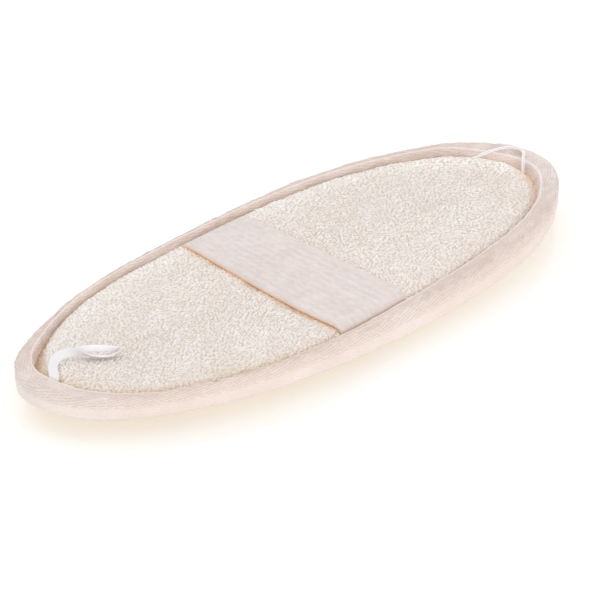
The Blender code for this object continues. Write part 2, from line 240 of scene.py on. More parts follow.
def gutter_width(angle):
    """Gap between the rim's inner face and the cover."""
    return (0.15 + (0.8 + 2.2 * smooth(-0.25, 0.3, np.sin(angle))) * left_end(angle)
            + 3.2 * right_end(angle) + 1.1 * hump(angle, centre=2.66, width=0.33))


def rim_points(angle, depth, z):
    """Points at a depth in from the rim's outer face."""
    out_x, out_y = outward(angle)
    out = rim_bow(angle) - depth
    return np.stack([HALF_LENGTH * np.cos(angle) + out_x * out,
                     HALF_WIDTH * np.sin(angle) + out_y * out, z + 0 * angle], -1)


def rings_to_spine(outline, step):
    """Half width of an outline, and (fraction left, xy) of rings shrinking from it
    on to a line along the middle."""
    half_width = float(np.abs(outline[:, 1]).max())
    half_length = np.abs(outline[:, 0]).max()
    turn = np.arctan2(outline[:, 1] / half_width, outline[:, 0] / half_length)
    middle = np.stack([SPINE * np.cos(turn), 0 * turn], -1)
    count = int(half_width / step)
    fractions = [1 - k / count for k in range(1, count + 1)]
    return half_width, [(f, outline[:, :2] * f + middle * (1 - f)) for f in fractions]


# ------------------------------------------------------------------ meshes
def build(name, points, faces, uv=None, attrs=None):
    """An object from points in mm; faces is an (n, 3) or (n, 4) array, or a list of them."""
    groups = faces if isinstance(faces, list) else [faces]
    mesh = bpy.data.meshes.new(name)
    points = np.asarray(points, float).reshape(-1, 3)
    mesh.vertices.add(len(points))
    mesh.vertices.foreach_set("co", (points * MM).astype(np.float32).ravel())
    corners = np.concatenate([group.ravel() for group in groups]).astype(np.int32)
    sizes = np.concatenate([np.full(len(group), group.shape[1]) for group in groups])
    starts = np.concatenate([[0], np.cumsum(sizes)[:-1]]).astype(np.int32)
    mesh.loops.add(len(corners))
    mesh.loops.foreach_set("vertex_index", corners)
    mesh.polygons.add(len(sizes))
    mesh.polygons.foreach_set("loop_start", starts)
    mesh.update(calc_edges=True)
    mesh.validate()
    if uv is not None:
        layer = mesh.uv_layers.new(name="UVMap")
        index = np.zeros(len(mesh.loops), np.int32)
        mesh.loops.foreach_get("vertex_index", index)
        corner_uv = np.asarray(uv, np.float32).reshape(-1, 2)[index]
        layer.data.foreach_set("uv", corner_uv.ravel())
    for key, values in (attrs or {}).items():
        attribute = mesh.attributes.new(key, "FLOAT", "POINT")
        attribute.data.foreach_set("value", np.asarray(values, np.float32).ravel())
    mesh.shade_smooth()
    obj = bpy.data.objects.new(name, mesh)
    bpy.context.scene.collection.objects.link(obj)
    return obj


def quads(rows, cols, wrap_cols, wrap_rows=False, flip=False):
    """Face indices of a grid of rows x cols points."""
    row, col = np.meshgrid(np.arange(rows if wrap_rows else rows - 1),
                           np.arange(cols if wrap_cols else cols - 1), indexing="ij")
    next_row, next_col = (row + 1) % rows, (col + 1) % cols
    faces = np.stack([row * cols + col, next_row * cols + col,
                      next_row * cols + next_col, row * cols + next_col], -1).reshape(-1, 4)
    return faces[:, ::-1] if flip else faces


def end_cap(cols):
    """Faces closing the first ring of a flat tube whose ring runs across and back."""
    k = np.arange(cols // 2 - 1)
    return np.stack([k, k + 1, cols - 2 - k, cols - 1 - k], -1)


def build_closed(name, rings, flip=False):
    """A stack of rings closed by a fan at the bottom and at the top."""
    rows, cols = rings.shape[:2]
    centres = [[0, 0, rings[0, 0, 2]], [0, 0, rings[-1, 0, 2]]]
    points = np.concatenate([rings.reshape(-1, 3), centres])
    bottom, top = len(points) - 2, len(points) - 1
    this = np.arange(cols)
    after = (this + 1) % cols
    if flip:
        this, after = after, this
    last = (rows - 1) * cols
    faces = [quads(rows, cols, True, flip=flip),
             np.stack([np.full(cols, bottom), this, after], -1),
             np.stack([np.full(cols, top), last + after, last + this], -1)]
    return build(name, points, faces)


def grid_normals(points, wrap_cols):
    """Unit normals of a grid of points, by central differences."""
    if wrap_cols:
        along_cols = np.roll(points, -1, 1) - np.roll(points, 1, 1)
    else:
        along_cols = np.gradient(points, axis=1)
    normals = np.cross(np.gradient(points, axis=0), along_cols)
    return normals / np.maximum(np.linalg.norm(normals, axis=-1, keepdims=True), 1e-9)


# ------------------------------------------------------------------ materials
WHITE = (1.0, 1.0, 1.0)


class Material:
    """A node material round its Principled BSDF."""

    def __init__(self, name):
        self.mat = bpy.data.materials.new(name)
        self.mat.use_nodes = True
        self.tree = self.mat.node_tree
        self.bsdf = self.tree.nodes["Principled BSDF"]

    def add(self, kind, inputs=None):
        node = self.tree.nodes.new(kind)
        for key, value in (inputs or {}).items():
            node.inputs[key].default_value = value
        return node

    def link(self, source, target):
        self.tree.links.new(source, target)

    def feed(self, socket, value):
        """Set a socket to a number or colour, or link a node's output to it."""
        if isinstance(value, (int, float)):
            socket.default_value = value
        elif isinstance(value, tuple):
            socket.default_value = (*value, 1)
        else:
            self.link(value, socket)

    def ramp(self, value, *stops):
        """Colour ramp through (position, colour) stops."""
        node = self.add("ShaderNodeValToRGB")
        elements = node.color_ramp.elements
        for element, (position, color) in zip(elements, (stops[0], stops[-1])):
            element.position, element.color = position, (*color, 1)
        for position, color in stops[1:-1]:
            elements.new(position).color = (*color, 1)
        self.link(value, node.inputs[0])
        return node.outputs[0]

    def mix(self, factor, first, second, mode="MIX"):
        node = self.add("ShaderNodeMix")
        node.data_type = "RGBA"
        node.blend_type = mode
        # inputs 0, 6 and 7 are the factor and the two colours
        for index, value in ((0, factor), (6, first), (7, second)):
            self.feed(node.inputs[index], value)
        return node.outputs[2]

    def multiply(self, color, tint):
        return self.mix(1.0, color, tint, "MULTIPLY")

    def mottle(self, color, value, *stops):
        """Multiply a colour by a ramp of a value."""
        return self.multiply(color, self.ramp(value, *stops))

    def tint_where(self, attribute, color, tint):
        """Multiply a colour by a tint where a mesh attribute is high."""
        return self.mix(self.attr(attribute), color, self.multiply(color, tint))

    def coords(self, space="Object"):
        return self.add("ShaderNodeTexCoord").outputs[space]

    def noise(self, scale, detail, roughness):
        inputs = {"Scale": scale, "Detail": detail, "Roughness": roughness}
        node = self.add("ShaderNodeTexNoise", inputs)
        self.link(self.coords(), node.inputs["Vector"])
        return node.outputs["Fac"]

    def uv_noise(self, stretch):
        """Noise in UV space, with its frequency along and across the cloth."""
        uv = self.coords("UV")
        node = self.add("ShaderNodeTexNoise", {"Scale": 1.0})
        mapping = self.add("ShaderNodeMapping", {"Scale": (*stretch, 1.0)})
        self.link(uv, mapping.inputs["Vector"])
        self.link(mapping.outputs[0], node.inputs["Vector"])
        return node.outputs["Fac"]

    def attr(self, name):
        node = self.add("ShaderNodeAttribute")
        node.attribute_name = name
        return node.outputs["Fac"]

    def bump(self, height, strength, distance):
        node = self.add("ShaderNodeBump", {"Strength": strength, "Distance": distance})
        self.link(height, node.inputs["Height"])
        self.link(node.outputs[0], self.bsdf.inputs["Normal"])

    def surface(self, color, roughness, specular, sheen=0.0, sheen_roughness=0.5):
        inputs = self.bsdf.inputs
        self.feed(inputs["Base Color"], color)
        self.feed(inputs["Roughness"], roughness)
        inputs["Sheen Weight"].default_value = sheen
        inputs["Sheen Roughness"].default_value = sheen_roughness
        inputs["Specular IOR Level"].default_value = specular

    def glow(self, attribute, color):
        """Painted light: a glow where an attribute is high, standing in for light that cloth
        passes on into narrow creases.
        """
        light = self.mix(self.attr(attribute), (0.0, 0.0, 0.0), color)
        self.link(light, self.bsdf.inputs["Emission Color"])
        self.bsdf.inputs["Emission Strength"].default_value = 1.0


def terry_material():
    m = Material("terry_pile")
    # painted shade and highlight: darker in the pits between loops, lighter on the loop crowns
    color = m.ramp(m.attr("pile"), (0.0, (0.70, 0.62, 0.555)), (0.28, (0.80, 0.74, 0.70)),
                   (0.7, (0.89, 0.86, 0.848)), (1.0, (0.955, 0.938, 0.938)))
    slow = m.noise(scale=38.0, detail=3.0, roughness=0.6)
    color = m.mottle(color, slow, (0.3, (0.97, 0.95, 0.93)), (0.7, WHITE))
    patch = m.noise(scale=230.0, detail=2.0, roughness=0.5)
    color = m.mottle(color, patch, (0.3, (0.955, 0.935, 0.905)),
                     (0.5, (0.985, 0.975, 0.965)), (0.7, WHITE))
    fine = m.noise(scale=2400.0, detail=2.0, roughness=0.6)
    color = m.mottle(color, fine, (0.35, (0.965, 0.945, 0.93)), (0.65, WHITE))
    # painted shade: an orange-tan tint near the rim, in spots at the tips and beside the strap's
    # left edge
    color = m.tint_where("warm_painted_shade", color, (0.93, 0.80, 0.66))
    # painted light: lighter on the far side, where the cover slopes down to the rim
    color = m.tint_where("painted_light", color, (1.075, 1.105, 1.12))
    m.surface(color, roughness=0.95, specular=0.12, sheen=0.2, sheen_roughness=0.6)
    # painted light: an orange glow where the cover runs down into the seam and beside the
    # strap's left edge
    m.glow("crease_glow", (0.15, 0.10, 0.065))
    m.bump(fine, strength=0.4, distance=0.0002)
    return m.mat


def tape_material():
    m = Material("twill_tape")
    furrow, crest = (0.68, 0.588, 0.535), (0.885, 0.81, 0.77)
    between = tuple(0.45 * a + 0.55 * b for a, b in zip(furrow, crest))
    color = m.ramp(m.attr("rib"), (0.0, furrow), (0.45, between), (1.0, crest))
    slow = m.noise(scale=55.0, detail=3.0, roughness=0.6)
    color = m.mottle(color, slow, (0.3, (0.95, 0.91, 0.88)), (0.7, WHITE))
    yarn = m.uv_noise(stretch=(1.3, 3.4))
    color = m.mottle(color, yarn, (0.35, (0.93, 0.90, 0.88)), (0.65, WHITE))
    # painted shade: the upper fold and the inside a little darker, the lower outer face and the
    # inner ridge left clear
    color = m.mix(m.attr("clear_of_fold_shade"), m.multiply(color, (0.975, 0.96, 0.965)), color)
    # painted light: the rim lighter towards both tips
    color = m.tint_where("painted_light", color, (1.065, 1.11, 1.15))
    m.surface(color, roughness=0.85, specular=0.2, sheen=0.15, sheen_roughness=0.5)
    # painted light: an orange glow down the rim's inner face
    m.glow("crease_glow", (0.16, 0.125, 0.095))
    m.bump(yarn, strength=0.5, distance=0.0002)
    return m.mat


def strap_material():
    m = Material("elastic_webbing")
    color = m.ramp(m.attr("rib"), (0.0, (0.66, 0.585, 0.56)), (1.0, (0.81, 0.738, 0.715)))
    slow = m.noise(scale=60.0, detail=3.0, roughness=0.5)
    color = m.mottle(color, slow, (0.3, (0.97, 0.95, 0.94)), (0.7, WHITE))
    weave = m.uv_noise(stretch=(3.5, 1.6))
    # painted shade: orange-tan on the strap's edges, its underside and near each sewn end
    color = m.tint_where("under", color, (1.0, 0.80, 0.62))
    m.surface(color, roughness=0.6, specular=0.35, sheen=0.1, sheen_roughness=0.4)
    # painted light: a faint orange glow in the same places
    m.glow("under", (0.09, 0.07, 0.045))
    m.bump(weave, strength=0.35, distance=0.0001)
    return m.mat


def ribbon_material():
    m = Material("satin_ribbon")
    grain = m.uv_noise(stretch=(2.2, 6.0))
    color = m.ramp(grain, (0.3, (0.76, 0.74, 0.755)), (0.7, (0.84, 0.825, 0.84)))
    roughness = m.ramp(grain, (0.3, (0.42, 0.42, 0.42)), (0.7, (0.55, 0.55, 0.55)))
    m.surface(color, roughness, specular=0.45, sheen=0.1, sheen_roughness=0.3)
    # painted light: a glow on the ribbon's inside faces where the eye opens, and all over the
    # right loop
    m.glow("inner", (0.20, 0.193, 0.197))
    m.bump(grain, strength=0.3, distance=0.0001)
    return m.mat


def thread_material():
    m = Material("sewing_thread")
    uv = m.coords("UV")
    twist = m.add("ShaderNodeTexWave", {"Scale": 1.6, "Distortion": 0.5})
    twist.bands_direction = "DIAGONAL"
    m.link(uv, twist.inputs["Vector"])
    ply = twist.outputs["Fac"]
    color = m.ramp(ply, (0.2, (0.74, 0.66, 0.60)), (0.8, (0.88, 0.82, 0.77)))
    m.surface(color, roughness=0.5, specular=0.4, sheen=0.1, sheen_roughness=0.4)
    m.bump(ply, strength=0.4, distance=0.00008)
    return m.mat


def loofah_material():
    m = Material("loofah_fibre")
    # painted shade: dark brown down between the strands, lighter on their tops
    color = m.ramp(m.attr("strand"), (0.0, (0.36, 0.25, 0.13)), (0.4, (0.62, 0.49, 0.30)),
                   (1.0, (0.84, 0.74, 0.54)))
    slow = m.noise(scale=30.0, detail=4.0, roughness=0.6)
    color = m.mottle(color, slow, (0.3, (0.88, 0.82, 0.72)), (0.7, WHITE))
    fine = m.noise(scale=1500.0, detail=2.0, roughness=0.6)
    m.surface(color, roughness=0.8, specular=0.25)
    m.bump(fine, strength=0.4, distance=0.0002)
    return m.mat


def foam_material():
    m = Material("open_cell_sponge")
    cells = m.add("ShaderNodeTexVoronoi", {"Scale": 900.0})
    m.link(m.coords(), cells.inputs["Vector"])
    distance = cells.outputs["Distance"]
    # painted shade: darker at the middle of each cell, in the pores
    color = m.ramp(distance, (0.1, (0.55, 0.48, 0.33)), (0.6, (0.90, 0.85, 0.70)))
    m.surface(color, roughness=0.95, specular=0.2)
    m.bump(distance, strength=0.6, distance=0.0005)
    return m.mat


def floor_material():
    m = Material("pale_floor")
    # the floor glows orange-tinted and its own colour is bluish, so it reads white in the open
    # and cream in the pad's shadow: painted bounce light in the shadow
    m.surface((0.44, 0.50, 0.58), roughness=0.22, specular=0.4)
    m.bsdf.inputs["Emission Color"].default_value = (0.60, 0.53, 0.45, 1)
    m.bsdf.inputs["Emission Strength"].default_value = 1.0
    # seen from below the floor is open, so that the sole can be looked at
    clear = m.add("ShaderNodeBsdfTransparent")
    geometry = m.add("ShaderNodeNewGeometry")
    pick = m.add("ShaderNodeMixShader")
    m.link(geometry.outputs["Backfacing"], pick.inputs[0])
    m.link(m.bsdf.outputs[0], pick.inputs[1])
    m.link(clear.outputs[0], pick.inputs[2])
    m.link(pick.outputs[0], m.tree.nodes["Material Output"].inputs["Surface"])
    return m.mat


# ------------------------------------------------------------------ sponge's push on the cover
def cushion_cage():
    """Closed pad a little smaller than the space it has."""
    angle = angle_at(np.linspace(0, PERIMETER, 121)[:-1])
    # (depth in from the gutter, z)
    profile = ((1.0, 10.0), (0.6, 12.5), (1.4, 15.0), (4.0, 16.2), (9.0, 16.6))
    wall = [rim_points(angle, rim_thickness(angle) + gutter_width(angle) + depth, z)
            for depth, z in profile]
    bottom = [wall[0] * [k, k, 1] for k in (0.15, 0.5, 0.8)]
    top = [wall[-1] * [k, k, 1] for k in (0.75, 0.45, 0.15)]
    for row in top:
        row[:, 2] = 16.7
    cage = build_closed("cushion_sim", np.stack(bottom + wall + top))
    cage.data.flip_normals()
    return cage


def inflate(obj, start, frames=20, furthest=0.006):
    """Points of the pad after the cloth is blown up, none moved further than furthest (m)."""
    # the seam holds the pad's lower edge, and the strap holds it down across the middle
    held = obj.vertex_groups.new(name="held")
    low = [i for i, point in enumerate(start) if point[2] < 0.0122]
    held.add(low, 1.0, "REPLACE")
    pressed = [i for i, point in enumerate(start)
               if point[2] > 0.0155 and STRAP_LOW[0] * MM < point[0] < STRAP_HIGH[0] * MM]
    held.add(pressed, 0.9, "REPLACE")
    cloth = obj.modifiers.new("cloth", "CLOTH")
    settings = cloth.settings
    settings.quality = 6
    settings.mass = 0.3
    settings.tension_stiffness = settings.compression_stiffness = 12
    settings.shear_stiffness = 6
    settings.bending_stiffness = 0.3
    settings.use_pressure = True
    settings.uniform_pressure_force = 4.0
    settings.effector_weights.gravity = 0.0
    settings.vertex_group_mass = "held"
    cloth.collision_settings.use_collision = False
    cloth.point_cache.frame_start, cloth.point_cache.frame_end = 1, frames
    scene = bpy.context.scene
    scene.frame_start, scene.frame_end = 1, frames
    for frame_number in range(1, frames + 1):
        scene.frame_set(frame_number)
    evaluated = obj.evaluated_get(bpy.context.evaluated_depsgraph_get())
    move = np.array([v.co for v in evaluated.data.vertices]) - start
    length = np.linalg.norm(move, axis=1, keepdims=True)
    obj.modifiers.clear()
    scene.frame_set(1)
    return start + move * np.minimum(1, furthest / np.maximum(length, 1e-9))


def cushion_relief():
    """Cloth simulation of the stuffed cover, sampled from above: (x, y, height grid) in mm."""
    obj = cushion_cage()
    bpy.context.view_layer.objects.active = obj
    remesh = obj.modifiers.new("voxels", "REMESH")
    remesh.mode = "VOXEL"
    remesh.voxel_size = 0.0042
    bpy.context.view_layer.update()
    evaluated = obj.evaluated_get(bpy.context.evaluated_depsgraph_get())
    mesh = bpy.data.meshes.new_from_object(evaluated)
    obj.modifiers.clear()
    obj.data = mesh
    end = inflate(obj, np.array([v.co for v in mesh.vertices]))
    mesh.vertices.foreach_set("co", end.astype(np.float32).ravel())
    rounding = obj.modifiers.new("round", "SUBSURF")
    rounding.levels = rounding.render_levels = 1
    tree = BVHTree.FromObject(obj, bpy.context.evaluated_depsgraph_get())
    grid_x, grid_y = np.arange(-126, 126.1, 1.5), np.arange(-50, 50.1, 1.5)
    height = np.full((len(grid_x), len(grid_y)), np.nan)
    for i, x in enumerate(grid_x):
        for j, y in enumerate(grid_y):
            hit = tree.ray_cast(Vector((x * MM, y * MM, 0.05)), Vector((0, 0, -1)))[0]
            if hit is not None:
                height[i, j] = hit.z / MM
    bpy.data.objects.remove(obj)
    return grid_x, grid_y, height


def bilinear(grid_x, grid_y, height, x, y):
    x = np.clip((x - grid_x[0]) / (grid_x[1] - grid_x[0]), 0, len(grid_x) - 1.001)
    y = np.clip((y - grid_y[0]) / (grid_y[1] - grid_y[0]), 0, len(grid_y) - 1.001)
    i, j = x.astype(int), y.astype(int)
    x, y = x - i, y - j
    return (height[i, j] * (1 - x) * (1 - y) + height[i + 1, j] * x * (1 - y)
            + height[i, j + 1] * (1 - x) * y + height[i + 1, j + 1] * x * y)


# ------------------------------------------------------------------ strap placing
def strap_shift(y, edge):
    """How far an edge of the strap (-1 left, +1 right) has moved along X at y."""
    stations, shifts = zip(*STRAP_SPREAD[edge])
    return np.interp(y / STRAP_REACH, stations, shifts)


def rim_inner_y(x, side):
    """Y of the rim's inner face at X, on the near (-1) or far (+1) side."""
    angle = np.linspace(0.02, math.pi - 0.02, 2000) * side
    points = rim_points(angle, rim_thickness(angle), 0.0)
    order = np.argsort(points[:, 0])
    return np.interp(x, points[order, 0], points[order, 1])


# ------------------------------------------------------------------ terry cover
def pile_height(u, v):
    """Loop pile: short bent loops in staggered rows, 0 in a pit to 1 on a loop's crown."""
    rng = np.random.default_rng(41)
    pitch_u, pitch_v, size, loop_radius = 1.12, 1.40, 256, 0.49
    row, col = np.meshgrid(np.arange(size) * 1.0, np.arange(size) * 1.0, indexing="ij")
    # every loop has its own offset, direction, height, curl and half length
    jitter = rng.normal(0, 0.17, (size, size, 2))
    turn = (1.4 + 1.0 * value_noise(row, col, scale=8.0, seed=42)
            + rng.normal(0, 0.35, (size, size)))
    tall = np.clip(rng.normal(0.82, 0.14, (size, size))
                   + 0.12 * value_noise(row, col, scale=3.1, seed=43), 0.35, 1)
    curl = rng.uniform(-1.0, 1.0, (size, size))
    half = (rng.uniform(0.12, 0.46, (size, size))
            + 0.16 * np.clip(value_noise(row, col, scale=11.0, seed=44), 0, 1))
    cell_u, cell_v = np.floor(u / pitch_u).astype(int), np.floor(v / pitch_v).astype(int)
    height = np.zeros_like(u)
    for step_u in (-1, 0, 1):
        for step_v in (-1, 0, 1):
            i, j = (cell_u + step_u) % size, (cell_v + step_v) % size
            stagger = 0.5 * np.mod(cell_v + step_v, 2) - 0.25
            centre_u = (cell_u + step_u + 0.5 + stagger + jitter[i, j, 0]) * pitch_u
            centre_v = (cell_v + step_v + 0.5 + jitter[i, j, 1]) * pitch_v
            off_u, off_v = u - centre_u, v - centre_v
            cosine, sine = np.cos(turn[i, j]), np.sin(turn[i, j])
            along = off_u * cosine + off_v * sine
            aside = -off_u * sine + off_v * cosine
            aside = aside - curl[i, j] * along * along * 0.55
            beyond = np.maximum(0, np.abs(along) - half[i, j])
            away = np.hypot(beyond, aside) / loop_radius
            crown = tall[i, j] * (1 - 0.25 * (along / 0.9) ** 2)
            height = np.maximum(height, np.sqrt(np.maximum(0, 1 - away * away)) * crown)
    return np.clip(height, 0, 1)


def terry_ground(angle, wall_depth, wall_height, wall_arc):
    """The cover without relief: points, unrolled (u, v), and 0 on the wall to 1 on the flat."""
    edge = rim_thickness(angle) + gutter_width(angle)
    total = wall_arc[-1]
    flat_edge = rim_points(angle, edge + wall_depth[-1], 0.0)
    out = np.stack(outward(angle), -1)
    rows, unrolled, flat = [], [], []
    for arc in np.arange(0, total, TERRY_STEP):
        depth = np.interp(arc, wall_arc, wall_depth)
        height = np.interp(arc, wall_arc, wall_height)
        # where the gutter is wide, the cover slopes out to the seam in the bottom of it
        splay = gutter_width(angle) * float(smooth(-2.2, -5.2, height)) * 0.9
        row = rim_points(angle, edge + depth - splay, 0.0)
        rim_follow = rim_rise(angle) * float(smooth(9.0, 1.0, depth)) * 0.8
        row[:, 2] = TERRY_TOP + height + rim_follow
        rows.append(row)
        unrolled.append(flat_edge[:, :2] + out * (total - arc))
        flat.append(float(smooth(total - 7.0, total, arc)))
    for _, xy in rings_to_spine(flat_edge, TERRY_STEP)[1]:
        rows.append(np.concatenate([xy, np.full((len(xy), 1), TERRY_TOP)], 1))
        unrolled.append(xy)
        flat.append(1.0)
    return np.stack(rows), np.stack(unrolled), np.array(flat)[:, None]


def build_terry(relief):
    cols = 1560
    angle = angle_at(arc_stations(cols))
    wall_depth, wall_height = np.array(TERRY_WALL).T
    wall_arc = path_length(wall_depth, wall_height)
    ground, unrolled, flat = terry_ground(angle, wall_depth, wall_height, wall_arc)
    x, y, z = ground[..., 0], ground[..., 1], ground[..., 2]
    u, v = unrolled[..., 0], unrolled[..., 1]
    row_arc = (np.arange(len(ground)) * TERRY_STEP)[:, None]
    strap_left = STRAP_LOW[0] + strap_shift(y, -1)
    strap_right = STRAP_HIGH[0] + strap_shift(y, 1)

    # slow swell of the sponge
    if relief is not None:
        grid_x, grid_y, height = relief
        height = np.where(np.isnan(height), np.nanmedian(height), height)
        swell = bilinear(grid_x, grid_y, height, x, y)
        z += np.clip((swell - np.median(swell[-40:])) * 0.35, -0.5, 0.35) * flat
    z += (0.24 * value_noise(x, y, scale=19.0, seed=5) * flat
          + 0.20 * value_noise(x + 7, y - 3, scale=8.5, seed=6) * flat
          + 0.22 * value_noise(x, y, scale=4.2, seed=7) * flat)
    # a few creases lying across the pad
    fold = value_noise(x * 0.62 + y * 0.5, y * 1.3 - x * 0.35, scale=15.0, seed=8)
    fold_depth = 0.5 + 0.5 * value_noise(x, y, scale=24.0, seed=9)
    z -= 0.35 * bell(fold, 0.10) * flat * fold_depth
    # the strap presses it down and it rises a little either side
    under = (smooth(strap_left - 2.5, strap_left + 1.0, x)
             * smooth(strap_right + 2.5, strap_right - 1.0, x))
    beside = bell(x - strap_left + 4, 3.0) + bell(x - strap_right - 4, 3.0)
    z += (-0.12 * under + 0.16 * beside + 0.26 * bell(x - strap_left - 0.6, 1.1)) * flat
    # soft creases running out of the seam
    arc = arc_at(np.broadcast_to(angle, x.shape))
    z += (0.22 * bell(row_arc - wall_arc[-1] * 0.62, 4.0)
          * value_noise(arc, 0 * arc, scale=7.0, seed=11))

    # the cloth lies with its rows aslant to the oval
    slant = math.radians(42.0)
    cosine, sine = math.cos(slant), math.sin(slant)
    pile = pile_height(u * cosine - v * sine + 500, u * sine + v * cosine + 500)
    pile = np.clip(pile * (0.86 + 0.25 * value_noise(u, v, scale=2.9, seed=12)), 0, 1)
    normals = grid_normals(ground, True)
    normals = np.where(normals[..., 2:3] < 0, -normals, normals)
    # the pile grows out of the seam over eight rows, and is pressed down by the strap
    grown = np.minimum(1, (np.arange(len(ground)) / 8))[:, None]
    points = ground + normals * (pile * PILE * (1 - 0.35 * under) * grown)[..., None]
    points[-1] = (points[-1] + ground[-1]) / 2

    # painted orange shade and painted light, by distance in from the shoulder point of the wall
    # 2.4 below the top
    from_rim = row_arc - np.interp(-2.4, wall_height, wall_arc)
    signed_angle = np.mod(angle + np.pi, 2 * np.pi) - np.pi
    near = smooth(0.3, -0.3, np.sin(angle))[None, :]
    side_fade = (0.3 + 0.7 * smooth(-1.5, -2.1, signed_angle))[None, :]
    patchy = 0.6 + 0.4 * value_noise(x, y, scale=9.0, seed=14)
    # painted orange shade along the near side of the rim, broken up by patchy noise
    painted_shade_near_rim = 0.75 * smooth(5.0, 0.0, from_rim) + 0.35 * smooth(13.0, 2.0, from_rim) * patchy
    painted_shade_spots = (0.85 * hump(angle, centre=2.75, width=0.4)
                  + 0.45 * hump(angle, centre=0.1, width=0.35))[None, :]
    warm_painted_shade = (painted_shade_near_rim * near * side_fade + (1 - near) * 0.5 * smooth(0.6, -1.5, from_rim)
            + painted_shade_spots * smooth(2.5, -0.5, from_rim))
    # painted orange shade on the cover just left of the strap's edge
    beside_strap = bell(np.maximum(0, strap_left - x), 0.9) * (x < strap_left + 2.5)
    warm_painted_shade = np.clip(np.maximum(warm_painted_shade, 0.85 * beside_strap * flat), 0, 1)
    # painted light on the far side, over the slope down to the rim
    painted_light = ((1 - near) * smooth(-1.0, 0.3, from_rim)
            * (smooth(12.0, 3.0, from_rim) * 0.8 + 0.2 * smooth(24.0, 6.0, from_rim)))
    painted_light = np.broadcast_to(painted_light, pile.shape)
    # painted light: glow down in the seam fold by the rim, and just inside the strap's left edge
    below_top = TERRY_TOP + 0.8 * rim_rise(angle)[None, :] - z
    seam_crease = (smooth(0.5, 3.0, below_top) * smooth(2.4, 0.4, from_rim)
                   * (1 - 0.85 * hump(angle, centre=2.85, width=0.55))[None, :])
    crease_glow = np.maximum(seam_crease, 0.9 * bell(x - strap_left - 0.9, 1.5) * flat)
    return build("terry_cover_cloth", points, quads(len(points), cols, True),
                 attrs={"pile": pile, "warm_painted_shade": warm_painted_shade, "painted_light": painted_light, "crease_glow": crease_glow})


# ------------------------------------------------------------------ binding
def twill(along, across):
    """Herringbone twill: ribs at a shallow slant that turns over every column.
    0 in a furrow, 1 on a rib."""
    column_width, pitch, slant = 5.2, 1.18, math.radians(13)
    column = np.floor(across / column_width)
    sign = np.where(np.mod(column, 2) == 0, 1.0, -1.0)
    local = across - (column + 0.5) * column_width
    phase = ((along * math.sin(slant) + sign * local * math.cos(slant)) / pitch
             + 0.37 * column)
    rib = 0.5 + 0.5 * np.cos(2 * np.pi * phase)
    from_edge = np.abs(np.abs(local) - column_width / 2)
    wander = 0.8 * value_noise(along, across, scale=4.0, seed=31)
    dash = 0.68 + 0.32 * np.cos(2 * np.pi * (along / 2.3 + 0.5 * np.floor(phase) + wander))
    worn = 0.74 + 0.26 * value_noise(along, across, scale=2.6, seed=27)
    return rib ** 0.8 * (0.85 + 0.15 * smooth(0.0, 0.5, from_edge)) * dash * worn


def binding_profile(angle):
    """Rows up the outside, over the fold and down the inside, and the row of the inner turn."""
    thickness, lean = rim_thickness(angle), rim_lean(angle)
    top = RIM_TOP + rim_rise(angle)
    outer_height, inner_height = RIM_HEIGHT - 0.1, 6.4
    outer_radius = np.minimum(1.35, 0.42 * thickness)
    inner_radius = np.minimum(1.3 + 0.9 * right_end(angle), 0.46 * thickness)
    # at the +X tip the fold leans out and its inner side slopes into the gutter
    fall = (2.0 * end_bump(angle, centre=16.0, reach=30.0)
            + 0.9 * hump(angle, centre=4.15, width=0.45))
    rows = []
    for f in np.linspace(0, 1, 36)[:-1]:
        height = -outer_height * (1 - f) - outer_radius * f
        belly = 0.35 * math.sin(math.pi * f)
        rows.append(rim_points(angle, -belly + lean * (-height / RIM_HEIGHT), top + height))
    for bend in np.linspace(0, np.pi / 2, 11):
        rows.append(rim_points(angle, outer_radius * (1 - math.cos(bend)),
                               top - outer_radius * (1 - math.sin(bend))))
    for f in np.linspace(0, 1, 15)[1:-1]:
        crown = 0.32 * math.sin(math.pi * f) - fall * float(smooth(0.1, 1.3, f))
        depth = outer_radius + (thickness - outer_radius - inner_radius) * f
        rows.append(rim_points(angle, depth, top + crown))
    turn_row = len(rows) + 1
    for bend in np.linspace(np.pi / 2, 0, 13):
        drop = (inner_radius * (1 - math.sin(bend)) + fall * (0.86 + 0.14 * math.cos(bend)))
        rows.append(rim_points(angle, thickness - inner_radius * (1 - math.cos(bend)),
                               top - drop))
    for f in np.linspace(0, 1, 20)[1:]:
        height = -(inner_radius + fall) * (1 - f) - inner_height * f
        depth = thickness + 0.25 * (-height - inner_radius) / RIM_HEIGHT
        rows.append(rim_points(angle, depth, top + height))
    return np.stack(rows), turn_row


